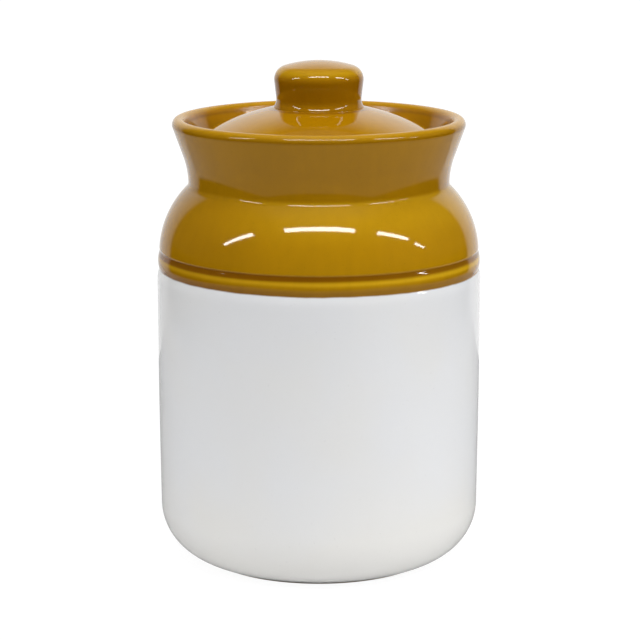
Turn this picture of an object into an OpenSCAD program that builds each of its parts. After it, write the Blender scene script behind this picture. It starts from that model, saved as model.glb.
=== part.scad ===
// Water seal pickle jar: a glazed stoneware pot whose mouth stands inside a water
// gutter, and a domed lid whose skirt stands in the water. Every piece is turned
// about the vertical axis Z. The origin is the centre of the foot ring, on the table.

/* [Pot] */
// Outer diameter of the pot below the glaze line
body_d = 140; // [128:1:160]
// Draft of the wall: how much the radius shrinks down to the foot corner
body_draft = 0.55; // [0:0.05:2]
// Height of the glaze line above the table
glaze_h = 128; // [90:1:180]
// Radius of the rounded foot corner
corner_r = 23.5; // [16:0.5:30]
// Thickness of the wall
wall = 6.4; // [5:0.2:8]
// Thickness of the pot's floor
base_t = 8; // [6:0.5:12]
// Rounding of the wall's upper end, where it turns in towards the glaze line
pot_edge_r = 11; // [6:0.5:16]

/* [Foot] */
// Outer diameter of the bare foot ring
foot_d = 101; // [80:1:102]
// Width of the foot ring
foot_w = 7; // [4:0.5:12]
// Height of the foot corner's lowest circle above the table
foot_rise = 0.3; // [0.1:0.1:1.5]
// Depth of the recess inside the ring
foot_recess = 1.6; // [0.6:0.1:3]

/* [Shoulder] */
// How far the shoulder's widest circle stands inside the pot's radius
shoulder_inset = 0.9; // [0.6:0.1:1.4]
// Height above the glaze line where the shoulder starts to turn in
turn_rise = 6.2; // [4:0.1:8]
// Height of the crease under the collar above the glaze line
crease_rise = 35.8; // [30:0.1:45]
// Outer diameter at the crease
waist_d = 112.4; // [106:0.1:116]
// Rounding of the crease
crease_r = 3.5; // [1.5:0.5:5]

/* [Bead and groove] */
// How far the bead's widest circle stands inside the pot's radius
bead_inset = 0.35; // [0.2:0.05:0.5]
// Height of the bead's widest circle above the glaze line
bead_rise = 3.4; // [3:0.1:4]
// Radius of the bead's lower half
bead_low_r = 10.5; // [6:0.5:16]
// Rounding of the valley at the glaze line, between the bead and the white wall
valley_r = 1.4; // [0.8:0.1:2.5]
// Height of the groove's centre above the glaze line
groove_rise = 8.1; // [7.4:0.1:9]
// Diameter of the round tool that cuts the groove
groove_d = 3.2; // [2.4:0.1:4]
// Depth of the groove below the shoulder's widest circle
groove_depth = 0.3; // [0.1:0.1:0.8]
// Rounding of the groove's upper edge
groove_edge_r = 0.8; // [0.3:0.1:2]

/* [Collar] */
// Height of the lip above the crease
collar_h = 29.1; // [26:0.1:36]
// Thickness of the collar
collar_wall = 5.8; // [5:0.2:7.4]
// Straight run above the crease before the collar flares
collar_run = 0.6; // [0.2:0.1:2]
// Radius of the sweep from the straight run into the flare
sweep_r = 36.5; // [25:0.1:45]
// Angle of the flare from the vertical
flare_a = 19.8; // [14:0.1:25]

/* [Water gutter] */
// Depth of the gutter's floor below the lip
gutter_depth = 24.8; // [22:0.1:26]
// Rounding at the bottom of the gutter
gutter_r = 3; // [2:0.5:3.5]
// Thickness of clay under the gutter
gutter_t = 6; // [5:0.5:9]
// Height above the gutter's floor where the collar and the mouth ring are luted on
seam_rise = 4; // [4:0.5:6]

/* [Mouth] */
// Inner diameter of the mouth
mouth_d = 67; // [62:0.5:68]
// Thickness of the mouth ring
neck_wall = 5; // [4:0.1:5.4]
// Height of the mouth ring above the gutter's floor
neck_h = 15.5; // [10:0.5:16]

/* [Lid] */
// Diameter of the lid's edge
lid_d = 97; // [95:0.5:100]
// Thickness of the lid
lid_wall = 4.8; // [4:0.1:5.2]
// Outer radius of the dome
dome_r = 100; // [85:1:110]
// Height of the dome's top above the skirt's foot
dome_rise = 30.8; // [30:0.1:34]
// Rounding between the dome and the skirt
lid_edge_r = 6.5; // [5.5:0.1:8]
// Rounding of the skirt's foot
rim_r = 1.2; // [0.5:0.1:1.6]

/* [Knob] */
// Widest diameter of the knob
knob_d = 38.3; // [37:0.1:42]
// Narrowest diameter of the knob, above its flared foot
knob_neck_d = 36.5; // [34:0.1:37.5]
// Diameter of the knob's foot and of the boss that it is luted to
knob_foot_d = 38.6; // [37.6:0.1:41]
// Radius of the flare from the narrowest circle out to the foot
knob_flare_r = 5.5; // [3:0.5:8]
// Height of the knob above its boss
knob_h = 19.6; // [17:0.1:24]
// Rounding of the knob's upper edge
knob_edge_r = 6; // [3:0.1:7]
// Height of the knob's crowned top above its rounded edge
knob_crown = 1.9; // [0.5:0.1:3.5]
// Height of the boss above the rounding at its foot
boss_rise = 0.1; // [0.1:0.1:1]
// Rounding between the boss and the dome
boss_fillet = 0.4; // [0.2:0.1:2]

/* [Hidden] */
$fn = 128;

white_glaze = [0.93, 0.93, 0.92];
ochre_glaze = [0.72, 0.51, 0.10];
// How far the chords of a drawn arc may lie from the true arc
arc_error = 0.015;

// Radii and heights of the pot
body_r = body_d / 2;
low_r = body_r - body_draft;
inner_r = body_r - wall;
corner_c = [low_r - corner_r, foot_rise + corner_r];
inner_corner_r = corner_r - wall;
foot_r = foot_d / 2;

// The shoulder's arc starts upright at the turn and ends at the crease
shoulder_r = body_r - shoulder_inset;
waist_r = waist_d / 2;
turn_z = glaze_h + turn_rise;
crease_z = glaze_h + crease_rise;
shoulder_in = shoulder_r - waist_r;
shoulder_arc_r = (pow(shoulder_in, 2) + pow(crease_z - turn_z, 2)) / (2 * shoulder_in);
shoulder_c = [shoulder_r - shoulder_arc_r, turn_z];

// The groove below the shoulder, and the rounding that leads from the shoulder into it
groove_r = groove_d / 2;
groove_c = [shoulder_r - groove_depth + groove_r, glaze_h + groove_rise];
groove_edge_c = circles_meet(
    shoulder_c, shoulder_arc_r - groove_edge_r,
    groove_c, groove_r + groove_edge_r
);

// The bead's upper half touches the groove, and both halves touch at the widest circle
bead_r = body_r - bead_inset;
bead_z = glaze_h + bead_rise;
groove_out = groove_c[0] - bead_r;
groove_up = groove_c[1] - bead_z;
bead_top_r = (pow(groove_out, 2) + pow(groove_up, 2) - pow(groove_r, 2)) / (2 * (groove_r - groove_out));
bead_top_c = [bead_r - bead_top_r, bead_z];
bead_low_c = [bead_r - bead_low_r, bead_z];

// The valley is narrowest at the glaze line and touches the bead and the wall's upper end
valley_c = [bead_low_c[0] + leg(bead_low_r + valley_r, bead_rise), glaze_h];
pot_edge_x = body_r - pot_edge_r;
pot_edge_c = [pot_edge_x, glaze_h - leg(pot_edge_r + valley_r, valley_c[0] - pot_edge_x)];

// The collar sweeps about a centre outside the jar, then runs straight to its round lip
sweep_c = [waist_r + sweep_r, crease_z + collar_run];
gutter_arc_r = sweep_r + collar_wall;
lip_r = collar_wall / 2;
lip_z = crease_z + collar_h;
flare_end = polar(sweep_c, sweep_r + lip_r, 180 - flare_a);
flare_h = lip_z - lip_r - flare_end[1];
lip_c = flare_end + flare_h * [tan(flare_a), 1];

// The crease is rounded by an arc that touches the shoulder's arc and the sweep
crease_c = circles_meet(shoulder_c, shoulder_arc_r + crease_r, sweep_c, sweep_r - crease_r);

// The gutter lies between the mouth ring and the collar, with both bottom corners rounded
gutter_z = lip_z - gutter_depth;
seam_z = gutter_z + seam_rise;
mouth_r = mouth_d / 2;
neck_r = mouth_r + neck_wall;
neck_c = [mouth_r + neck_wall / 2, gutter_z + neck_h - neck_wall / 2];
gutter_outer_r = sweep_c[0] - leg(gutter_arc_r, gutter_z - sweep_c[1]);
round_z = gutter_z + gutter_r;
outer_round_c = [sweep_c[0] - leg(gutter_arc_r + gutter_r, round_z - sweep_c[1]), round_z];

// Inside, the shoulder turns in to the underside of the gutter
under_z = gutter_z - gutter_t;
under_r = under_z - turn_z;
under_c = [inner_r - under_r, turn_z];

// The dome and its edge; the skirt's foot stands midway across the gutter
dome_top_z = gutter_z + dome_rise;
dome_c = [0, dome_top_z - dome_r];
edge_x = lid_d / 2 - lid_edge_r;
edge_c = [edge_x, dome_c[1] + leg(dome_r - lid_edge_r, edge_x)];
skirt_foot = [(neck_r + gutter_outer_r + lid_wall) / 2, gutter_z];
skirt_a = tangent_angle(skirt_foot, edge_c, lid_edge_r);

// The skirt's foot is rounded by arcs that touch its outer and inner faces
rim_z = gutter_z + rim_r;
rim_lean = rim_r / tan(skirt_a);
rim_half = rim_r / sin(skirt_a);
outer_rim_c = [skirt_foot[0] + rim_lean - rim_half, rim_z];
inner_rim_c = [skirt_foot[0] - lid_wall / sin(skirt_a) + rim_lean + rim_half, rim_z];

// The boss on the dome carries the knob, whose foot flares out to the boss
boss_r = knob_foot_d / 2;
boss_x = boss_r + boss_fillet;
boss_c = [boss_x, dome_c[1] + leg(dome_r + boss_fillet, boss_x)];
seat_z = boss_c[1] + boss_rise;
knob_flare_x = knob_neck_d / 2 + knob_flare_r;
knob_flare_c = [knob_flare_x, seat_z + leg(knob_flare_r, knob_flare_x - boss_r)];

// The knob's side is the straight line between its flare and its rounded upper edge
knob_top_z = seat_z + knob_h;
knob_c = [knob_d / 2 - knob_edge_r, knob_top_z - knob_crown - knob_edge_r];
knob_span = norm(knob_flare_c - knob_c);
knob_side_a = heading(knob_c, knob_flare_c) + acos((knob_edge_r + knob_flare_r) / knob_span);
crown_h = knob_crown + knob_edge_r;
crown_r = (pow(knob_c[0], 2) + pow(crown_h, 2) - pow(knob_edge_r, 2)) / (2 * knob_crown);
crown_c = [0, knob_top_z - crown_r];

// The other leg of a right triangle
function leg(long_side, side) = sqrt(pow(long_side, 2) - pow(side, 2));

// A point at a distance and an angle from a centre
function polar(c, r, a) = c + r * [cos(a), sin(a)];

// The angle at which a sees b
function heading(a, b) = atan2(b[1] - a[1], b[0] - a[0]);

// Where a circle about a meets a circle about b, on the left of the way from a to b
function circles_meet(a, ra, b, rb) =
    let (
        d = norm(b - a),
        along = (pow(d, 2) + pow(ra, 2) - pow(rb, 2)) / (2 * d),
        u = (b - a) / d
    )
    a + along * u + leg(ra, along) * [-u[1], u[0]];

// The direction of the line from a point that touches the outer side of a circle
function tangent_angle(p, c, r) = heading(p, c) - asin(r / norm(c - p));

// The points of an arc about c from angle a0 to a1, close enough to the true arc
function arc(c, r, a0, a1) =
    let (n = max(2, ceil(abs(a1 - a0) / (2 * acos(1 - arc_error / r)))))
    [for (i = [0 : n]) polar(c, r, a0 + (a1 - a0) * i / n)];

// The angle where a circle about c reaches a height on the side towards the axis
function inward_angle(c, r, z) = 180 - asin((z - c[1]) / r);

// The sections lie in a plane where x is the radius and y is the height.

// Bare foot ring, rounded corner, wall, and the wall's upper end with half of the valley
module pot_section() {
    edge_a = heading(pot_edge_c, valley_c);
    polygon(concat(
        [[0, foot_recess], [foot_r - foot_w, foot_recess], [foot_r - foot_w, 0], [foot_r, 0]],
        arc(corner_c, corner_r, -acos((foot_r - corner_c[0]) / corner_r), 0),
        arc(pot_edge_c, pot_edge_r, 0, edge_a),
        arc(valley_c, valley_r, 180 + edge_a, 180),
        [[inner_r, glaze_h]],
        arc([corner_c[0], base_t + inner_corner_r], inner_corner_r, 0, -90),
        [[0, base_t]]
    ));
}

// Shoulder with the gutter's floor and the roots of the collar and of the mouth ring
module shoulder_section() {
    mouth_a = min(90, acos((mouth_r - under_c[0]) / under_r));
    wall_a = heading(outer_round_c, sweep_c);
    sweep_a = heading(crease_c, sweep_c);
    crease_a = heading(shoulder_c, crease_c);
    ridge_a = heading(shoulder_c, groove_edge_c);
    groove_top_a = heading(groove_edge_c, groove_c);
    groove_foot_a = heading(bead_top_c, groove_c);
    valley_a = heading(bead_low_c, valley_c);
    polygon(concat(
        [[inner_r, glaze_h]],
        arc(under_c, under_r, 0, mouth_a),
        [[mouth_r, under_z], [mouth_r, seam_z], [neck_r, seam_z]],
        arc([neck_r + gutter_r, round_z], gutter_r, 180, 270),
        arc(outer_round_c, gutter_r, -90, wall_a),
        arc(sweep_c, gutter_arc_r, 180 + wall_a, inward_angle(sweep_c, gutter_arc_r, seam_z)),
        arc(sweep_c, sweep_r, inward_angle(sweep_c, sweep_r, seam_z), 180 + sweep_a),
        arc(crease_c, crease_r, 180 + sweep_a, 180 + crease_a),
        arc(shoulder_c, shoulder_arc_r, crease_a, ridge_a),
        arc(groove_edge_c, groove_edge_r, ridge_a, groove_top_a),
        arc(groove_c, groove_r, 180 + groove_top_a, 180 + groove_foot_a),
        arc(bead_top_c, bead_top_r, groove_foot_a, 0),
        arc(bead_low_c, bead_low_r, 0, valley_a),
        arc(valley_c, valley_r, 180 + valley_a, 180)
    ));
}

// Sweep and straight flare of one thickness, with a fully round lip
module collar_section() {
    polygon(concat(
        arc(sweep_c, sweep_r, inward_angle(sweep_c, sweep_r, seam_z), 180 - flare_a),
        arc(lip_c, lip_r, -flare_a, 180 - flare_a),
        arc(sweep_c, gutter_arc_r, 180 - flare_a, inward_angle(sweep_c, gutter_arc_r, seam_z))
    ));
}

// Mouth ring with a fully round rim
module neck_section() {
    polygon(concat(
        [[mouth_r, seam_z], [neck_r, seam_z]],
        arc(neck_c, neck_wall / 2, 0, 180)
    ));
}

// Dome, edge and skirt of one thickness, with a solid boss for the knob
module lid_section() {
    boss_a = heading(dome_c, boss_c);
    edge_a = heading(dome_c, edge_c);
    side_a = skirt_a - 90;
    polygon(concat(
        [[0, seat_z], [boss_r, seat_z]],
        arc(boss_c, boss_fillet, 180, 180 + boss_a),
        arc(dome_c, dome_r, boss_a, edge_a),
        arc(edge_c, lid_edge_r, edge_a, side_a),
        arc(outer_rim_c, rim_r, side_a, -90),
        arc(inner_rim_c, rim_r, -90, side_a - 180),
        arc(edge_c, lid_edge_r - lid_wall, side_a, edge_a),
        arc(dome_c, dome_r - lid_wall, edge_a, 90)
    ));
}

// Flared foot, straight side, rounded upper edge and crowned top
module knob_section() {
    foot_a = 360 + heading(knob_flare_c, [boss_r, seat_z]);
    crown_a = heading(crown_c, knob_c);
    polygon(concat(
        [[0, seat_z]],
        arc(knob_flare_c, knob_flare_r, foot_a, 180 + knob_side_a),
        arc(knob_c, knob_edge_r, knob_side_a, crown_a),
        arc(crown_c, crown_r, crown_a, 90)
    ));
}

module jar_body() {
    color(white_glaze)
        rotate_extrude()
            pot_section();
}

module shoulder() {
    color(ochre_glaze)
        rotate_extrude()
            shoulder_section();
}

module collar() {
    color(ochre_glaze)
        rotate_extrude()
            collar_section();
}

module inner_neck() {
    color(ochre_glaze)
        rotate_extrude()
            neck_section();
}

module lid_dome() {
    color(ochre_glaze)
        rotate_extrude()
            lid_section();
}

module lid_knob() {
    color(ochre_glaze)
        rotate_extrude()
            knob_section();
}

jar_body();
shoulder();
collar();
inner_neck();
lid_dome();
lid_knob();
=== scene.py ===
import cmath
from math import acos, asin, atan2, ceil, cos, degrees, pi, radians, sin, sqrt, tan

import bpy
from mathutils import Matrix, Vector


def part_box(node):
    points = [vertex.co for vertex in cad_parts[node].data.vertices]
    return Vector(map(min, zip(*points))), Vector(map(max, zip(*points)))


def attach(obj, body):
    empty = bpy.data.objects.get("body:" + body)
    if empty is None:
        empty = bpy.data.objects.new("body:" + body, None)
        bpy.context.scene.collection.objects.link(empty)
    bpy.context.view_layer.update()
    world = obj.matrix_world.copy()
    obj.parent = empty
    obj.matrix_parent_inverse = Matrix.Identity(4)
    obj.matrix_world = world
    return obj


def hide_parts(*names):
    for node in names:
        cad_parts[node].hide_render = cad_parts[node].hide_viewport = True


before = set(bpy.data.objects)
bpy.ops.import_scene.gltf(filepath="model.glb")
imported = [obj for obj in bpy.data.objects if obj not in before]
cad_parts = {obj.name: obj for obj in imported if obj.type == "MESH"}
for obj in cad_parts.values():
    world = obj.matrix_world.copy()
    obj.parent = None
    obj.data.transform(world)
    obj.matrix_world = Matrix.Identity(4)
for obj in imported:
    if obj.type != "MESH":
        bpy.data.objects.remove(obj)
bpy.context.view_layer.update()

# The jar is turned pottery: every piece is a closed outline spun about the Z axis.
# An outline's point is a complex number, radius + height * 1j, in metres.

POT_LOW, POT_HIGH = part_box("jar_body")
SHOULDER_LOW, SHOULDER_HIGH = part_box("shoulder")
COLLAR_LOW, COLLAR_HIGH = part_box("collar")
NECK_LOW, NECK_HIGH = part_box("inner_neck")
LID_LOW, LID_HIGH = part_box("lid_dome")
KNOB_LOW, KNOB_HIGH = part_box("lid_knob")

# Sizes that the frame's boxes give
BODY_R = POT_HIGH.x
GLAZE_Z = POT_HIGH.z
BEAD_R = SHOULDER_HIGH.x
SEAM_Z = COLLAR_LOW.z
LIP_Z = COLLAR_HIGH.z
NECK_R = NECK_HIGH.x
NECK_TOP_Z = NECK_HIGH.z
LID_R = LID_HIGH.x
GUTTER_Z = LID_LOW.z
SEAT_Z = LID_HIGH.z
BOSS_R = KNOB_HIGH.x
KNOB_TOP_Z = KNOB_HIGH.z

# Pot: wall, floor, rounded foot corner and bare foot ring
WALL = 0.0064
FLOOR_T = 0.008
BODY_DRAFT = 0.00055
CORNER_R = 0.0235
FOOT_R = 0.0505
FOOT_W = 0.007
FOOT_RISE = 0.0003
FOOT_RECESS = 0.0016
FOOT_EDGE_R = 0.0004
POT_EDGE_R = 0.011

# Shoulder: a valley at the glaze line, the bead and the groove, then an arc up to the crease
SHOULDER_R = BODY_R - 0.0009
TURN_Z = GLAZE_Z + 0.0062
CREASE_Z = GLAZE_Z + 0.0358
WAIST_R = 0.0562
CREASE_R = 0.0035
VALLEY_R = 0.0014
BEAD_Z = GLAZE_Z + 0.0034
BEAD_LOW_R = 0.0105
GROOVE_R = 0.0016
GROOVE_Z = GLAZE_Z + 0.0081
GROOVE_DEPTH = 0.0003
GROOVE_EDGE_R = 0.0008

# Collar and water gutter
COLLAR_WALL = 0.0058
SWEEP_R = 0.0365
SWEEP_Z = CREASE_Z + 0.0006
FLARE = 19.8
GUTTER_ROUND_R = 0.003
GUTTER_T = 0.006
NECK_WALL = 0.005

# Lid and knob
LID_WALL = 0.0048
DOME_R = 0.1
DOME_TOP_Z = GUTTER_Z + 0.0308
LID_EDGE_R = 0.0065
RIM_R = 0.0012
BOSS_FILLET = 0.0004
KNOB_R = 0.01915
KNOB_NECK_R = 0.01825
KNOB_FLARE_R = 0.0055
KNOB_EDGE_R = 0.006
KNOB_CROWN = 0.0019

# How finely the outlines are drawn and turned
STEP = 0.0006
LONG_STEP = 0.0022
TURN_STEP = 4
SECTORS = 240
SEAM_STEP = 0.00004


def leg(long_side, side):
    """The other leg of a right triangle."""
    return sqrt(long_side ** 2 - side ** 2)


def polar(centre, radius, angle):
    return centre + cmath.rect(radius, radians(angle))


def heading(start, end):
    """The angle at which start sees end, in degrees."""
    return degrees(cmath.phase(end - start))


def circles_meet(a, radius_a, b, radius_b):
    """Where two circles meet, on the left of the way from a to b."""
    d = abs(b - a)
    along = (d ** 2 + radius_a ** 2 - radius_b ** 2) / (2 * d)
    return a + (b - a) / d * complex(along, leg(radius_a, along))


def tangent_angle(point, centre, radius):
    """The direction of the line from a point that touches the outer side of a circle."""
    return heading(point, centre) - degrees(asin(radius / abs(centre - point)))


def arc(centre, radius, start, end):
    """Points of an arc, fine enough for smooth reflections."""
    turn = abs(end - start)
    n = max(2, ceil(radians(turn) * radius / STEP), ceil(turn / TURN_STEP))
    return [polar(centre, radius, start + (end - start) * i / n) for i in range(n + 1)]


def inward_angle(centre, radius, z):
    """The angle where a circle reaches a height on its side towards the axis."""
    return 180 - degrees(asin((z - centre.imag) / radius))


def rounded(before, corner, after, radius):
    """An arc that rounds a corner between two straight lines."""
    u = (before - corner) / abs(before - corner)
    v = (after - corner) / abs(after - corner)
    half = cmath.phase(v / u) / 2
    reach = radius / abs(sin(half))
    centre = corner + u * cmath.exp(1j * half) * reach
    touch = radius / abs(tan(half))
    start = heading(centre, corner + u * touch)
    turn = (heading(centre, corner + v * touch) - start + 180) % 360 - 180
    return arc(centre, radius, start, start + turn)


def without_repeats(points):
    """Leaves out a point that lies on the one before it."""
    kept = points[:1]
    for p in points[1:]:
        if abs(p - kept[-1]) > 1e-7:
            kept.append(p)
    if abs(kept[0] - kept[-1]) < 1e-7 and kept[0].real > 0:
        kept.pop()
    return kept


def anticlockwise(points):
    """Puts an outline in the order that turns its faces outwards."""
    area = sum((p.conjugate() * q).imag for p, q in zip(points, points[1:] + points[:1]))
    return points if area > 0 else points[::-1]


def with_long_sides_split(points):
    """Adds points to long straight stretches, so that the clay's unevenness can bend them."""
    fine = []
    for p, q in zip(points, points[1:] + points[:1]):
        n = max(1, ceil(abs(q - p) / LONG_STEP))
        if p.real == 0 and q.real == 0:
            n = 1
        fine += [p + (q - p) * i / n for i in range(n)]
    return fine


def bowed(start, end, sag):
    """A long side that bulges outwards by sag at its middle."""
    n = ceil(abs(end - start) / LONG_STEP)
    outwards = (end - start) / abs(end - start) * -1j
    return [start + (end - start) * i / n + outwards * 4 * sag * i * (n - i) / n ** 2 for i in range(n + 1)]


def seamed(points, at_end):
    """Adds a point just beside a seam, so that the shading of the two pieces there is the same."""
    end, beside = (points[-1], points[-2]) if at_end else (points[0], points[1])
    extra = end + (beside - end) / abs(beside - end) * SEAM_STEP
    return points[:-1] + [extra, end] if at_end else [end, extra] + points[1:]


# Centres and angles that the outlines share
INNER_R = BODY_R - WALL
BOW = 0.00018
CORNER_C = complex(BODY_R - BODY_DRAFT - CORNER_R, FOOT_RISE + CORNER_R)
SHOULDER_IN = SHOULDER_R - WAIST_R
SHOULDER_ARC_R = (SHOULDER_IN ** 2 + (CREASE_Z - TURN_Z) ** 2) / (2 * SHOULDER_IN)
SHOULDER_C = complex(SHOULDER_R - SHOULDER_ARC_R, TURN_Z)
GROOVE_C = complex(SHOULDER_R - GROOVE_DEPTH + GROOVE_R, GROOVE_Z)
BEAD_TO_GROOVE = GROOVE_C - complex(BEAD_R, BEAD_Z)
BEAD_TOP_R = (abs(BEAD_TO_GROOVE) ** 2 - GROOVE_R ** 2) / (2 * (GROOVE_R - BEAD_TO_GROOVE.real))
BEAD_TOP_C = complex(BEAD_R - BEAD_TOP_R, BEAD_Z)
BEAD_LOW_C = complex(BEAD_R - BEAD_LOW_R, BEAD_Z)
VALLEY_C = complex(BEAD_LOW_C.real + leg(BEAD_LOW_R + VALLEY_R, BEAD_Z - GLAZE_Z), GLAZE_Z)
SWEEP_C = complex(WAIST_R + SWEEP_R, SWEEP_Z)
GUTTER_ARC_R = SWEEP_R + COLLAR_WALL
MOUTH_R = NECK_R - NECK_WALL
UNDER_Z = GUTTER_Z - GUTTER_T
EDGE_X = LID_R - LID_EDGE_R
DOME_C = complex(0, DOME_TOP_Z - DOME_R)
EDGE_C = complex(EDGE_X, DOME_C.imag + leg(DOME_R - LID_EDGE_R, EDGE_X))


def pot_outline():
    """From the middle of the underside out over the foot, up the wall and down inside."""
    ring_in = FOOT_R - FOOT_W
    corner_z = CORNER_C.imag - leg(CORNER_R, FOOT_R - CORNER_C.real)
    edge_x = BODY_R - POT_EDGE_R
    edge_c = complex(edge_x, GLAZE_Z - leg(POT_EDGE_R + VALLEY_R, VALLEY_C.real - edge_x))
    edge_a = heading(edge_c, VALLEY_C)
    recess = complex(ring_in, FOOT_RECESS)
    inner_corner_r = CORNER_R - WALL
    return (
        [complex(0, FOOT_RECESS), recess]
        + rounded(recess, complex(ring_in, 0), complex(FOOT_R, 0), FOOT_EDGE_R)
        + rounded(complex(ring_in, 0), complex(FOOT_R, 0), complex(FOOT_R, corner_z), FOOT_EDGE_R / 2)
        + arc(CORNER_C, CORNER_R, heading(CORNER_C, complex(FOOT_R, corner_z)), 0)
        + bowed(polar(CORNER_C, CORNER_R, 0), polar(edge_c, POT_EDGE_R, 0), BOW)
        + arc(edge_c, POT_EDGE_R, 0, edge_a)
        + seamed(arc(VALLEY_C, VALLEY_R, 180 + edge_a, 180), True)
        + [complex(INNER_R, GLAZE_Z)]
        + arc(complex(CORNER_C.real, FLOOR_T + inner_corner_r), inner_corner_r, 0, -90)
        + [complex(0, FLOOR_T)]
    )


def shoulder_outline():
    """From the inside of the glaze line up to the mouth, round the gutter, and down the outside."""
    under_r = UNDER_Z - TURN_Z
    under_c = complex(INNER_R - under_r, TURN_Z)
    round_z = GUTTER_Z + GUTTER_ROUND_R
    round_reach = GUTTER_ARC_R + GUTTER_ROUND_R
    outer_round_c = complex(SWEEP_C.real - leg(round_reach, round_z - SWEEP_Z), round_z)
    wall_a = heading(outer_round_c, SWEEP_C)
    crease_c = circles_meet(SHOULDER_C, SHOULDER_ARC_R + CREASE_R, SWEEP_C, SWEEP_R - CREASE_R)
    sweep_a = heading(crease_c, SWEEP_C)
    crease_a = heading(SHOULDER_C, crease_c)
    edge_reach = GROOVE_R + GROOVE_EDGE_R
    groove_edge_c = circles_meet(SHOULDER_C, SHOULDER_ARC_R - GROOVE_EDGE_R, GROOVE_C, edge_reach)
    ridge_a = heading(SHOULDER_C, groove_edge_c)
    groove_top_a = heading(groove_edge_c, GROOVE_C)
    groove_foot_a = heading(BEAD_TOP_C, GROOVE_C)
    valley_a = heading(BEAD_LOW_C, VALLEY_C)
    inner_seam = seamed(
        arc(SWEEP_C, GUTTER_ARC_R, 180 + wall_a, inward_angle(SWEEP_C, GUTTER_ARC_R, SEAM_Z)), True
    )
    outer_seam = seamed(
        arc(SWEEP_C, SWEEP_R, inward_angle(SWEEP_C, SWEEP_R, SEAM_Z), 180 + sweep_a), False
    )
    return (
        [complex(INNER_R, GLAZE_Z)]
        + arc(under_c, under_r, 0, 90)
        + [complex(MOUTH_R, UNDER_Z), complex(MOUTH_R, SEAM_Z), complex(NECK_R, SEAM_Z)]
        + arc(complex(NECK_R + GUTTER_ROUND_R, round_z), GUTTER_ROUND_R, 180, 270)
        + arc(outer_round_c, GUTTER_ROUND_R, -90, wall_a)
        + inner_seam
        + outer_seam
        + arc(crease_c, CREASE_R, 180 + sweep_a, 180 + crease_a)
        + arc(SHOULDER_C, SHOULDER_ARC_R, crease_a, ridge_a)
        + arc(groove_edge_c, GROOVE_EDGE_R, ridge_a, groove_top_a)
        + arc(GROOVE_C, GROOVE_R, 180 + groove_top_a, 180 + groove_foot_a)
        + arc(BEAD_TOP_C, BEAD_TOP_R, groove_foot_a, 0)
        + arc(BEAD_LOW_C, BEAD_LOW_R, 0, valley_a)
        + seamed(arc(VALLEY_C, VALLEY_R, 180 + valley_a, 180), True)
    )


def collar_outline():
    """Up the outside from the seam, over the round lip and down into the gutter."""
    lip_r = COLLAR_WALL / 2
    flare_end = polar(SWEEP_C, SWEEP_R + lip_r, 180 - FLARE)
    flare_h = LIP_Z - lip_r - flare_end.imag
    lip_c = flare_end + flare_h * complex(tan(radians(FLARE)), 1)
    return (
        seamed(arc(SWEEP_C, SWEEP_R, inward_angle(SWEEP_C, SWEEP_R, SEAM_Z), 180 - FLARE), False)
        + arc(lip_c, lip_r, -FLARE, 180 - FLARE)
        + seamed(
            arc(SWEEP_C, GUTTER_ARC_R, 180 - FLARE, inward_angle(SWEEP_C, GUTTER_ARC_R, SEAM_Z)), True
        )
    )


def mouth_outline():
    """The ring that stands in the middle of the gutter, with its round rim."""
    rim_r = NECK_WALL / 2
    rim_c = complex(MOUTH_R + rim_r, NECK_TOP_Z - rim_r)
    return [complex(MOUTH_R, SEAM_Z), complex(NECK_R, SEAM_Z)] + arc(rim_c, rim_r, 0, 180)


def lid_outline():
    """From the middle of the boss out over the dome, down the skirt, and back up inside."""
    gutter_r = SWEEP_C.real - leg(GUTTER_ARC_R, GUTTER_Z - SWEEP_Z)
    foot = complex((NECK_R + gutter_r + LID_WALL) / 2, GUTTER_Z)
    skirt_a = tangent_angle(foot, EDGE_C, LID_EDGE_R)
    side_a = skirt_a - 90
    lean = RIM_R / tan(radians(skirt_a))
    half = RIM_R / sin(radians(skirt_a))
    rim_z = GUTTER_Z + RIM_R
    outer_rim_c = complex(foot.real + lean - half, rim_z)
    inner_rim_c = complex(foot.real - LID_WALL / sin(radians(skirt_a)) + lean + half, rim_z)
    boss_x = BOSS_R + BOSS_FILLET
    boss_c = complex(boss_x, DOME_C.imag + leg(DOME_R + BOSS_FILLET, boss_x))
    boss_a = heading(DOME_C, boss_c)
    edge_a = heading(DOME_C, EDGE_C)
    return (
        [complex(0, SEAT_Z), complex(BOSS_R, SEAT_Z)]
        + arc(boss_c, BOSS_FILLET, 180, 180 + boss_a)
        + arc(DOME_C, DOME_R, boss_a, edge_a)
        + arc(EDGE_C, LID_EDGE_R, edge_a, side_a)
        + arc(outer_rim_c, RIM_R, side_a, -90)
        + arc(inner_rim_c, RIM_R, -90, side_a - 180)
        + arc(EDGE_C, LID_EDGE_R - LID_WALL, side_a, edge_a)
        + arc(DOME_C, DOME_R - LID_WALL, edge_a, 90)
    )


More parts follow.
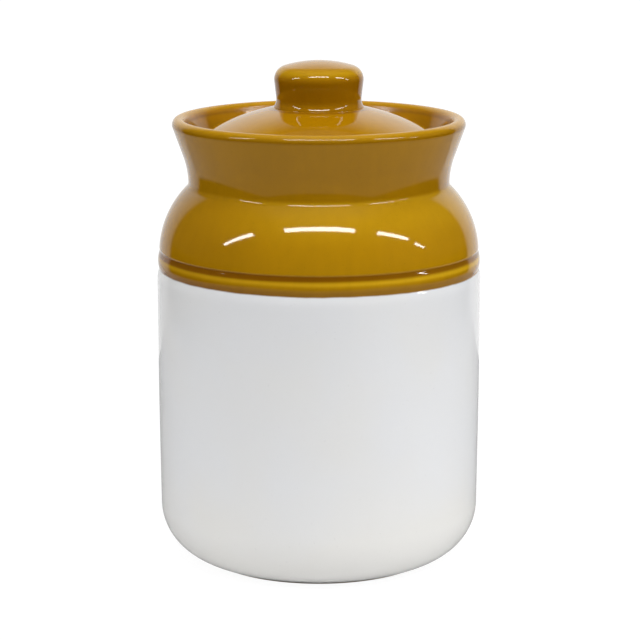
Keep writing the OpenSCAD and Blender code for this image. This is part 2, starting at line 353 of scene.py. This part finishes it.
def knob_outline():
    """From the middle of the flared foot up the straight side, over the rounded edge and the crown."""
    flare_x = KNOB_NECK_R + KNOB_FLARE_R
    flare_c = complex(flare_x, SEAT_Z + leg(KNOB_FLARE_R, flare_x - BOSS_R))
    foot_a = 360 + heading(flare_c, complex(BOSS_R, SEAT_Z))
    edge_c = complex(KNOB_R - KNOB_EDGE_R, KNOB_TOP_Z - KNOB_CROWN - KNOB_EDGE_R)
    lean = degrees(acos((KNOB_EDGE_R + KNOB_FLARE_R) / abs(flare_c - edge_c)))
    side_a = heading(edge_c, flare_c) + lean
    crown_h = KNOB_CROWN + KNOB_EDGE_R
    crown_r = (edge_c.real ** 2 + crown_h ** 2 - KNOB_EDGE_R ** 2) / (2 * KNOB_CROWN)
    crown_c = complex(0, KNOB_TOP_Z - crown_r)
    crown_a = heading(crown_c, edge_c)
    return (
        [complex(0, SEAT_Z)]
        + arc(flare_c, KNOB_FLARE_R, foot_a, 180 + side_a)
        + arc(edge_c, KNOB_EDGE_R, side_a, crown_a)
        + arc(crown_c, crown_r, crown_a, 90)
    )


def inside_pot(p):
    return p.real < BODY_R - WALL / 2 and p.imag > FLOOR_T / 2


def inside_shoulder(p):
    under = p.imag < UNDER_Z + GUTTER_T / 2 and abs(p - SHOULDER_C) < SHOULDER_ARC_R - WALL / 2
    return under or p.real < MOUTH_R + NECK_WALL / 4


def inside_mouth(p):
    return p.real < MOUTH_R + NECK_WALL / 4 and p.imag < NECK_TOP_Z - NECK_WALL / 2


class Value:
    """A node's output that takes part in Python arithmetic, which adds Math nodes."""

    def __init__(self, net, socket):
        self.net = net
        self.socket = socket

    def of(self, name):
        """Another output of the same node."""
        return Value(self.net, self.socket.node.outputs[name])

    def math(self, operation, *others):
        return self.net.maths(operation, self, *others)

    def __add__(self, other):
        return self.math("ADD", other)

    def __sub__(self, other):
        return self.math("SUBTRACT", other)

    def __rsub__(self, other):
        return self.net.maths("SUBTRACT", other, self)

    def __mul__(self, other):
        return self.math("MULTIPLY", other)

    def __truediv__(self, other):
        return self.math("DIVIDE", other)

    def __pow__(self, other):
        return self.math("POWER", other)

    __radd__ = __add__
    __rmul__ = __mul__


class Net:
    """A node tree with one short way to add a node."""

    def __init__(self, tree):
        self.tree = tree

    def add(self, kind, settings=None, inputs=None):
        """Adds a node with its settings, then its inputs by name or number; gives its first output."""
        node = self.tree.nodes.new(kind)
        for name, value in (settings or {}).items():
            if name == "stops":
                self.set_stops(node.color_ramp, value)
            else:
                setattr(node, name, value)
        for name, value in (inputs or {}).items():
            if isinstance(value, Value):
                self.tree.links.new(value.socket, node.inputs[name])
            else:
                node.inputs[name].default_value = value
        return Value(self, node.outputs[0]) if node.outputs else None

    def set_stops(self, ramp, stops):
        while len(ramp.elements) < len(stops):
            ramp.elements.new(1)
        for element, (position, colour) in zip(ramp.elements, stops):
            element.position = position
            element.color = colour

    def maths(self, operation, *values):
        return self.add("ShaderNodeMath", {"operation": operation}, dict(enumerate(values)))

    def split(self, vector):
        """The x, y and z of a vector."""
        x = self.add("ShaderNodeSeparateXYZ", None, {"Vector": vector})
        return x, x.of("Y"), x.of("Z")

    def stretch(self, vector, factors):
        return self.add("ShaderNodeVectorMath", {"operation": "MULTIPLY"}, {0: vector, 1: factors})

    def noise(self, vector, scale, detail=2.0, roughness=0.5):
        """Soft noise about 0.5, whose scale is in waves per metre."""
        return self.add(
            "ShaderNodeTexNoise",
            None,
            {"Vector": vector, "Scale": scale, "Detail": detail, "Roughness": roughness},
        )

    def step(self, value, low, high):
        """0 below low, 1 above high, and smooth between."""
        return self.add(
            "ShaderNodeMapRange",
            {"interpolation_type": "SMOOTHSTEP"},
            {"Value": value, "From Min": low, "From Max": high},
        )

    def hump(self, value, centre, width):
        """1 at the centre, fading to nothing a few widths away."""
        return self.maths("EXPONENT", ((value - centre) / width) ** 2 * -1.0)

    def blend(self, factor, a, b):
        """Colour a where factor is 0, colour b where it is 1."""
        mixed = self.add("ShaderNodeMix", {"data_type": "RGBA"}, {0: factor, 6: a, 7: b})
        return Value(self, mixed.socket.node.outputs[2])

    def shaded(self, colour, brightness):
        """A colour times a brightness."""
        return self.add("ShaderNodeVectorMath", {"operation": "SCALE"}, {0: colour, "Scale": brightness})


# How far the clay runs out of true, as a share of the radius, and how long its waves are
UNEVENNESS = 0.0014
WAVES_PER_M = 17
SHARP_ANGLE = 32


def turning_tree():
    """Geometry Nodes that spin an outline about Z, and mark its corners sharp."""
    tree = bpy.data.node_groups.new("turned_clay", "GeometryNodeTree")
    for name, kind in (
        ("Outline", "NodeSocketGeometry"),
        ("Sectors", "NodeSocketInt"),
        ("Closed", "NodeSocketInt"),
        ("Unevenness", "NodeSocketFloat"),
        ("Glaze", "NodeSocketMaterial"),
    ):
        tree.interface.new_socket(name, in_out="INPUT", socket_type=kind)
    tree.interface.new_socket("Turned", in_out="OUTPUT", socket_type="NodeSocketGeometry")
    net = Net(tree)
    outline = net.add("NodeGroupInput")
    sectors = outline.of("Sectors")
    points = net.add("GeometryNodeAttributeDomainSize", {"component": "MESH"}, {"Geometry": outline})
    rows = points + outline.of("Closed")
    grid = net.add("GeometryNodeMeshGrid", None, {"Vertices X": sectors + 1, "Vertices Y": rows})
    index = net.add("GeometryNodeInputIndex")
    sector = ((index + 0.5) / rows).math("FLOOR")
    row = (index - sector * rows).math("FLOORED_MODULO", points)

    def sampled(kind, field):
        return net.add(
            "GeometryNodeSampleIndex",
            {"data_type": kind, "domain": "POINT"},
            {"Geometry": outline, "Value": field, "Index": row},
        )

    radius, _, height = net.split(sampled("FLOAT_VECTOR", net.add("GeometryNodeInputPosition")))
    turn = sector / sectors * (2 * pi)
    across = turn.math("COSINE")
    along = turn.math("SINE")
    true_place = net.add(
        "ShaderNodeCombineXYZ", None, {"X": radius * across, "Y": radius * along, "Z": height}
    )
    runout = 1 + (net.noise(true_place, WAVES_PER_M, 1.0) - 0.5) * outline.of("Unevenness")
    place = net.stretch(
        true_place, net.add("ShaderNodeCombineXYZ", None, {"X": runout, "Y": runout, "Z": 1.0})
    )
    turned = net.add("GeometryNodeSetPosition", None, {"Geometry": grid, "Position": place})
    inside = net.add("GeometryNodeInputNamedAttribute", {"data_type": "FLOAT"}, {"Name": "inside"})
    marked = net.add(
        "GeometryNodeStoreNamedAttribute",
        {"data_type": "FLOAT", "domain": "POINT"},
        {"Geometry": turned, "Name": "inside", "Value": sampled("FLOAT", inside)},
    )
    merged = net.add("GeometryNodeMergeByDistance", None, {"Geometry": marked, "Distance": 1e-6})
    smooth = net.add(
        "GeometryNodeSetShadeSmooth", {"domain": "FACE"}, {"Geometry": merged, "Shade Smooth": True}
    )
    corner = net.add("GeometryNodeInputMeshEdgeAngle").math("GREATER_THAN", radians(SHARP_ANGLE))
    edged = net.add(
        "GeometryNodeSetShadeSmooth",
        {"domain": "EDGE"},
        {"Geometry": smooth, "Selection": corner, "Shade Smooth": False},
    )
    real = net.add("GeometryNodeRealizeInstances", None, {"Geometry": edged})
    glazed = net.add(
        "GeometryNodeSetMaterial", None, {"Geometry": real, "Material": outline.of("Glaze")}
    )
    net.add("NodeGroupOutput", None, {"Turned": glazed})
    return tree


def turned_piece(name, outline, glaze, inside=lambda p: False):
    """A piece of pottery: an outline of points, turned about Z and glazed."""
    points = with_long_sides_split(anticlockwise(without_repeats(outline)))
    mesh = bpy.data.meshes.new(name)
    mesh.from_pydata([(p.real, 0, p.imag) for p in points], [], [])
    marks = mesh.attributes.new("inside", "FLOAT", "POINT")
    marks.data.foreach_set("value", [float(inside(p)) for p in points])
    piece = bpy.data.objects.new(name, mesh)
    bpy.context.collection.objects.link(piece)
    modifier = piece.modifiers.new("turned_clay", "NODES")
    modifier.node_group = TURNING
    sockets = {item.name: item.identifier for item in TURNING.interface.items_tree}
    on_axis = points[0].real == 0
    for socket, value in (
        ("Sectors", SECTORS),
        ("Closed", 0 if on_axis else 1),
        ("Unevenness", UNEVENNESS),
        ("Glaze", glaze),
    ):
        modifier[sockets[socket]] = value
    evaluated = piece.evaluated_get(bpy.context.evaluated_depsgraph_get())
    turned = bpy.data.meshes.new_from_object(evaluated)
    piece.modifiers.clear()
    piece.data = turned
    turned.name = name
    return piece


def linear(red, green, blue):
    """A colour given as a screen shows it, 0 to 255, in the linear values that shaders take."""
    shares = [c / 255 for c in (red, green, blue)]
    return (*(((c + 0.055) / 1.055) ** 2.4 if c > 0.04 else c / 12.92 for c in shares), 1)


WHITE_GLAZE = linear(235, 236, 238)
WHITE_GLAZE_WARM = linear(236, 235, 232)
JAR_OCHRE = linear(180, 132, 10)
LID_OCHRE = linear(170, 119, 3)
# Paler ochre for thin glaze at edges, also used for painted light and a painted highlight
OCHRE_THIN_AND_LIT = linear(206, 161, 24)
# Darker ochre for pooled glaze, also used for painted shade on the shoulder, groove, collar and under the
# lip
OCHRE_POOLED_AND_SHADE = linear(125, 77, 1)
# Brighter, more orange ochre for the collar's inner wall: painted bounce light between lid and collar
OCHRE_INSIDE_PAINTED_BOUNCE = linear(192, 136, 4)
BARE_CLAY = linear(206, 190, 166)
GLAZE_EDGE = 0.0008
GLAZE_TILT = 0.0045


def fired_material(name):
    """A new material with its own tree, ready for nodes."""
    material = bpy.data.materials.new(name)
    material.use_nodes = True
    material.node_tree.nodes.clear()
    return material, Net(material.node_tree)


def ochre_colour(net, place, ochre, pooled_and_shade, thin_and_lit):
    """Amber glaze: cloudy over centimetres, streaked down the side, speckled close up."""
    clouds = net.noise(place, 45, 3.0)
    streaks = net.noise(net.stretch(place, (1, 1, 0.12)), 260, 2.0)
    specks = net.step(net.noise(place, 1500, 1.0), 0.62, 0.8)
    brightness = 0.86 + clouds * 0.16 + streaks * 0.12 - specks * 0.12
    # Darker towards the pooled colour for pooled glaze and painted shade, paler for thin glaze and painted
    # light
    colour = net.blend(thin_and_lit, net.blend(pooled_and_shade, ochre, OCHRE_POOLED_AND_SHADE), OCHRE_THIN_AND_LIT)
    return net.shaded(colour, brightness)


def white_colour(net, place):
    """White glaze that is a little warmer in broad patches and low down, with a few pale grey specks."""
    _, _, z = net.split(place)
    patches = net.step(net.noise(place, 22, 2.0), 0.35, 0.7)
    warmth = (patches * 0.5 + net.step(z, 0.05, 0.005)).math("MINIMUM", 1.0)
    specks = net.step(net.noise(place, 700, 1.0), 0.74, 0.8)
    return net.shaded(net.blend(warmth, WHITE_GLAZE, WHITE_GLAZE_WARM), 1 - specks * 0.05)


def glazed_surface(net, place, colour, bare, dull=0.0):
    """The glossy skin of fired glaze, duller where dull is more, and the dry clay where bare is 1."""
    ripple = net.noise(place, 130, 2.0)
    peel = net.noise(place, 900, 1.0)
    grit = net.noise(place, 3500, 3.0)
    smooth = net.add(
        "ShaderNodeBump", None, {"Strength": 0.35, "Distance": 0.00006, "Height": ripple + peel * 0.12}
    )
    rough = net.add(
        "ShaderNodeBump",
        None,
        {"Strength": 0.6, "Distance": 0.00012, "Height": grit * bare, "Normal": smooth},
    )
    surface = net.add(
        "ShaderNodeBsdfPrincipled",
        None,
        {
            "Base Color": net.blend(bare, colour, BARE_CLAY),
            "Roughness": 0.045 + net.noise(place, 60, 2.0) * 0.03 + bare * 0.7 + dull,
            "IOR": 1.52,
            "Normal": rough,
        },
    )
    net.add("ShaderNodeOutputMaterial", None, {"Surface": surface})


def jar_glaze():
    """The jar's glaze: ochre above the line and white below and inside, bare under the foot."""
    material, net = fired_material("jar_glaze")
    place = net.add("ShaderNodeTexCoord").of("Object")
    x, y, z = net.split(place)
    radius = (x * x + y * y).math("SQRT")
    inside = net.add("ShaderNodeAttribute", {"attribute_name": "inside"}).of("Fac")
    line = z + x * GLAZE_TILT + net.noise(place, 120, 2.0) * 0.0005 + 0.00035
    ochre = net.step(line, GLAZE_Z, GLAZE_Z + GLAZE_EDGE) * (1 - inside)
    # Pooled glaze in the groove, together with painted shade there, stronger towards -x
    over_bead = net.step(z, GROOVE_Z - 0.0028, GROOVE_Z - 0.0013)
    in_groove = over_bead * net.step(z, GROOVE_Z + 0.0008, GROOVE_Z - 0.0002)
    at_line = net.step(z, GLAZE_Z + 0.0042, GLAZE_Z + 0.001)
    in_gutter = net.step(z, GUTTER_Z + 0.012, GUTTER_Z + 0.002) * net.step(radius, WAIST_R, WAIST_R - 0.002)
    on_collar = net.step(z, CREASE_Z + 0.0004, CREASE_Z + 0.002)
    over_crease = on_collar * net.step(z, CREASE_Z + 0.0095, CREASE_Z + 0.004)
    # Painted shade: a darker band just under the lip on the outside
    under_lip = net.hump(z, LIP_Z - 0.003, 0.0007)
    # Painted shade: the lower shoulder a little darker than the upper
    low_down = net.step(z, CREASE_Z - 0.008, TURN_Z)
    # Painted shade: the left (-x) side of the shoulder darker, and less pale below the crease
    left_painted_shade = net.step(x, 0.005, -0.055) * (1 - on_collar)
    on_shoulder = in_groove * (0.93 - x * 2.5) + at_line * 0.5 + low_down * 0.06 + left_painted_shade * 0.28
    # Painted shade: the whole collar darkened by on_collar; the gutter and the foot of the collar hold
    # pooled glaze
    above = in_gutter * 0.6 + on_collar * 0.28 + over_crease * 0.04 + under_lip * 0.3
    # Pooled glaze at the line, in the gutter and at the crease, together with painted shade
    pooled_and_shade = (on_shoulder + above).math("MINIMUM", 1.0)
    on_lip = net.step(z, LIP_Z - 0.0022, LIP_Z - 0.0002)
    # Painted highlight with thin glaze along the bead, brighter towards +x
    on_bead = net.hump(z, BEAD_Z + 0.0016, 0.0009)
    # Painted light: the upper shoulder below the crease paler, where it faces the lamps
    under_crease = net.step(z, CREASE_Z - 0.018, CREASE_Z - 0.004) * net.step(z, CREASE_Z + 0.001, CREASE_Z)
    # Thin glaze on the lip, with a painted highlight on the bead and painted light under the crease
    thin_and_lit = on_lip * 0.4 + on_bead * (0.85 + x * 6.0) + under_crease * (0.42 - left_painted_shade * 0.35)
    bare = net.step(z, 0.0006, 0.0003) * (1 - inside)
    wall_reach = ((SWEEP_C.real - radius) ** 2 + (z - SWEEP_Z) ** 2).math("SQRT")
    inner_wall = net.step(wall_reach, SWEEP_R + COLLAR_WALL * 0.6, GUTTER_ARC_R) * on_collar
    inner_edge = net.step(z, LIP_Z - 0.0042, LIP_Z - 0.0028)
    # Painted bounce light: the collar's inner wall takes the brighter, more orange ochre
    glaze = net.blend(inner_wall, JAR_OCHRE, OCHRE_INSIDE_PAINTED_BOUNCE)
    colour = net.blend(ochre, white_colour(net, place), ochre_colour(net, place, glaze, pooled_and_shade, thin_and_lit))
    glazed_surface(net, place, colour, bare, inner_wall * (0.04 + inner_edge * 0.12))
    return material


def lid_glaze():
    """The lid's and knob's glaze: ochre all over, with a bare rim where the skirt stands."""
    material, net = fired_material("lid_glaze")
    place = net.add("ShaderNodeTexCoord").of("Object")
    x, y, z = net.split(place)
    radius = (x * x + y * y).math("SQRT")
    by_boss = net.hump(radius, BOSS_R + 0.0012, 0.0012) * net.step(z, SEAT_Z - 0.008, SEAT_Z - 0.004)
    on_knob = net.step(z, SEAT_Z - 0.0004, SEAT_Z + 0.0006)
    knob_side = on_knob * net.step(z, KNOB_TOP_Z - 0.0055, KNOB_TOP_Z - 0.012)
    knob_foot = net.step(z, SEAT_Z + 0.003, SEAT_Z + 0.0012)
    pooled_and_shade = (by_boss * 0.7 + knob_side * (0.27 - knob_foot * 0.12)).math("MINIMUM", 1.0)
    on_crown = net.step(z, KNOB_TOP_Z - 0.005, KNOB_TOP_Z - 0.002)
    # Painted light: the dome's left and right sides paler than the middle band in front of the knob
    dome_sides = net.step(x.math("ABSOLUTE"), 0.012, 0.022) * (1 - on_knob)
    thin_and_lit = net.hump(z, KNOB_TOP_Z - 0.0042, 0.0016) * 0.55 + on_crown * 0.12 + dome_sides * 0.2
    bare = net.step(z, GUTTER_Z + 0.0012, GUTTER_Z + 0.0007)
    glazed_surface(net, place, ochre_colour(net, place, LID_OCHRE, pooled_and_shade, thin_and_lit), bare)
    return material


TURNING = turning_tree()
JAR_GLAZE = jar_glaze()
LID_GLAZE = lid_glaze()

for name, node, body, slot, outline, glaze, inside in (
    ("pot", "jar_body", "jar", "white_glaze", pot_outline(), JAR_GLAZE, inside_pot),
    ("pot_shoulder", "shoulder", "jar", "ochre_glaze", shoulder_outline(), JAR_GLAZE, inside_shoulder),
    ("pot_collar", "collar", "jar", "ochre_glaze", collar_outline(), JAR_GLAZE, None),
    ("mouth_ring", "inner_neck", "jar", "ochre_glaze", mouth_outline(), JAR_GLAZE, inside_mouth),
    ("lid", "lid_dome", "lid", "ochre_glaze", lid_outline(), LID_GLAZE, None),
    ("knob", "lid_knob", "lid", "ochre_glaze", knob_outline(), LID_GLAZE, None),
):
    piece = turned_piece(name, outline, glaze, inside or (lambda p: False))
    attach(piece, body)
    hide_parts(node)

# The stage: a white sheet that lies on a wide dark table and stands up behind the jar.
# The camera sees all of it as white, apart from the jar's shadow.
CORNERS = ((-1, -1), (1, -1), (1, 1), (-1, 1))
TABLE_R = 9
TABLE_DROP = 0.00008
TABLE_SEEN = 1.06
TABLE_TONE = 0.1
SHEET_TONE = 0.92
SHEET_TONE_SEEN = 0.9
SHEET_HALF_W = 0.49
SHEET_FRONT = 0.47
SHEET_EDGE = 0.04
SHEET_IN_GLOSS = 0.34
SHEET_SLOPE = 0.2
BACKDROP_Y = 0.37
BACKDROP_H = 0.68
BACKDROP_IN_GLOSS = 0.93
BACKDROP_SLOPE = 0.32
BACKDROP_DIM_X = 0.68
BACKDROP_TOP_EDGE = 0.32
BACKDROP_FILL = 0.8
SHADOW_SHARE = 0.1
SHADOW_FROM = 0.3
SHADOW_FULL = 0.08


def white_table():
    """White to the camera but for the jar's shadow. Gloss shows the sheet on a dark table."""
    material, net = fired_material("white_table")
    rays = net.add("ShaderNodeLightPath")
    camera = rays.of("Is Camera Ray")
    gloss = rays.of("Is Glossy Ray")
    glass = rays.of("Is Transmission Ray")
    x, y, _ = net.split(net.add("ShaderNodeTexCoord").of("Object"))
    near = net.step((x * x + y * y).math("SQRT"), SHADOW_FROM, SHADOW_FULL)
    in_width = net.step(x.math("ABSOLUTE"), SHEET_HALF_W + SHEET_EDGE, SHEET_HALF_W - SHEET_EDGE)
    sheet = in_width * net.step(y, -SHEET_FRONT - SHEET_EDGE, -SHEET_FRONT + SHEET_EDGE)
    tone_lit = TABLE_TONE + sheet * (SHEET_TONE - TABLE_TONE)
    tone = tone_lit * (1 - camera) + camera * SHEET_TONE_SEEN
    grey = net.add("ShaderNodeCombineColor", None, {"Red": tone, "Green": tone, "Blue": tone})
    lit = net.add("ShaderNodeBsdfDiffuse", None, {"Color": grey})
    level = (camera + glass) * TABLE_SEEN + gloss * sheet * (SHEET_IN_GLOSS + y * SHEET_SLOPE)
    white = net.add("ShaderNodeEmission", None, {"Strength": level})
    seen = camera * (1 - near * SHADOW_SHARE) + gloss + glass
    surface = net.add("ShaderNodeMixShader", None, {0: seen, 1: lit, 2: white})
    net.add("ShaderNodeOutputMaterial", None, {"Surface": surface})
    return material


def white_backdrop():
    """The standing sheet as the glaze shows it: brightest in the middle, with soft edges."""
    material, net = fired_material("white_backdrop")
    rays = net.add("ShaderNodeLightPath")
    gloss = rays.of("Is Glossy Ray")
    x, _, z = net.split(net.add("ShaderNodeTexCoord").of("Object"))
    shown = (1 - (x / BACKDROP_DIM_X) ** 2) * (BACKDROP_IN_GLOSS + x * BACKDROP_SLOPE)
    in_width = net.step(x.math("ABSOLUTE"), SHEET_HALF_W + SHEET_EDGE, SHEET_HALF_W - SHEET_EDGE)
    in_height = net.step(z, BACKDROP_H, BACKDROP_H - BACKDROP_TOP_EDGE)
    level = gloss * (FRONT_IN_GLOSS + shown * in_width * in_height) + (1 - gloss) * BACKDROP_FILL
    white = net.add("ShaderNodeEmission", None, {"Strength": level})
    net.add("ShaderNodeOutputMaterial", None, {"Surface": white})
    return material


def flat_sheet(name, corners, material):
    """A flat sheet with four corners, which isn't part of the jar."""
    mesh = bpy.data.meshes.new(name)
    mesh.from_pydata(corners, [], [(0, 1, 2, 3)])
    mesh.materials.append(material)
    sheet = bpy.data.objects.new(name, mesh)
    bpy.context.collection.objects.link(sheet)
    return sheet


# The room behind the sheets: dark in front, with a dim ceiling that comes lower at the back
ROOM_FILL = 0.048
FRONT_IN_GLOSS = 0.025
CEILING_IN_GLOSS = 0.136
CEILING_FROM = 60


def room():
    """The world: white to the camera, even to diffuse light, and a dim room to the glaze's reflections."""
    world = bpy.data.worlds.new("room")
    bpy.context.scene.world = world
    world.use_nodes = True
    world.node_tree.nodes.clear()
    net = Net(world.node_tree)
    rays = net.add("ShaderNodeLightPath")
    camera = rays.of("Is Camera Ray")
    gloss = rays.of("Is Glossy Ray")
    glass = rays.of("Is Transmission Ray")
    x, y, up = net.split(net.add("ShaderNodeTexCoord"))
    rise = sin(radians(CEILING_FROM))
    over = net.step(up + y.math("MAXIMUM", 0.0) * 0.25, rise - 0.1, rise + 0.1)
    reflected = FRONT_IN_GLOSS + over * CEILING_IN_GLOSS
    level = camera + glass + gloss * reflected + (1 - camera - gloss - glass) * ROOM_FILL
    light = net.add("ShaderNodeBackground", None, {"Color": (1, 1, 1, 1), "Strength": level})
    net.add("ShaderNodeOutputWorld", None, {"Surface": light})


# A row of level ceiling tubes in front of the jar, with gaps, and a broad soft panel over it
TUBE_Z = 1.69
TUBE_W = 0.18
TUBE_AIM_Z = 0.15
WATTS_PER_M = 10.8


def lamp(name, centre, size, watts, tilt, turn=0):
    """A flat lamp whose long side is level. A tilt of 0 shines straight down, a turn of 0 to the back."""
    light = bpy.data.lights.new(name, "AREA")
    light.shape = "RECTANGLE"
    light.size, light.size_y = size
    light.energy = watts
    fitting = bpy.data.objects.new(name, light)
    fitting.location = centre
    fitting.rotation_euler = (tilt, 0, turn)
    bpy.context.collection.objects.link(fitting)
    return fitting


# Each tube's two ends as the floor plan has them, x + y * 1j
for name, start, end in (
    ("tube_left", -4.3 - 1.18j, -1.76 - 1.17j),
    ("tube_middle", -0.78 - 1.237j, 0.8 - 1.237j),
    ("tube_right", 1.46 - 1.18j, 3.12 - 0.98j),
    ("tube_far_right", 4.3 - 1.06j, 6.5 - 0.82j),
):
    length = abs(end - start)
    middle = (start + end) / 2
    tilt = atan2(-middle.imag, TUBE_Z - TUBE_AIM_Z)
    centre = (middle.real, middle.imag, TUBE_Z)
    lamp(name, centre, (length, TUBE_W), WATTS_PER_M * length, tilt, cmath.phase(end - start))
panel = lamp("panel", (0, -0.25, 2.0), (1.6, 0.8), 15.5, 0)
panel.visible_glossy = False

# Soft light from both sides, by turn about the jar and rise over the table in degrees
FILL_AWAY = 1.3
FILL_SIZE = 0.7
FILL_AIM_Z = 0.1
FILL_WATTS = 2
for name, turn, rise in (("fill_front_right", 60, 15), ("fill_right", 95, 20), ("fill_left", -95, 20)):
    turn, rise = radians(turn), radians(rise)
    out = FILL_AWAY * cos(rise)
    centre = (out * sin(turn), -out * cos(turn), FILL_AIM_Z + FILL_AWAY * sin(rise))
    fill = lamp(name, centre, (FILL_SIZE, FILL_SIZE), FILL_WATTS, pi / 2 - rise, turn)
    fill.visible_camera = False
    fill.visible_glossy = False

# The camera, placed so that the jar's outline falls where the photograph has it
IMAGE_W = 640
FOCAL_PX = 2443.3
SENSOR_MM = 36
CAMERA_PLACE = (0.00048, -1.042, 0.3263)
CAMERA_PITCH = 12.05
camera_data = bpy.data.cameras.new("camera")
camera_data.sensor_width = SENSOR_MM
camera_data.lens = FOCAL_PX * SENSOR_MM / IMAGE_W
camera_data.clip_end = 50
camera = bpy.data.objects.new("camera", camera_data)
camera.location = CAMERA_PLACE
camera.rotation_euler = (radians(90 - CAMERA_PITCH), 0, 0)
bpy.context.collection.objects.link(camera)
bpy.context.scene.camera = camera
bpy.context.scene.view_settings.view_transform = "Standard"

room()
flat_sheet("table", [(sx * TABLE_R, sy * TABLE_R, -TABLE_DROP) for sx, sy in CORNERS], white_table())
backdrop = flat_sheet(
    "backdrop",
    [(sx * (SHEET_HALF_W + SHEET_EDGE), BACKDROP_Y, (sy + 1) / 2 * BACKDROP_H) for sx, sy in CORNERS],
    white_backdrop(),
)
backdrop.visible_camera = False
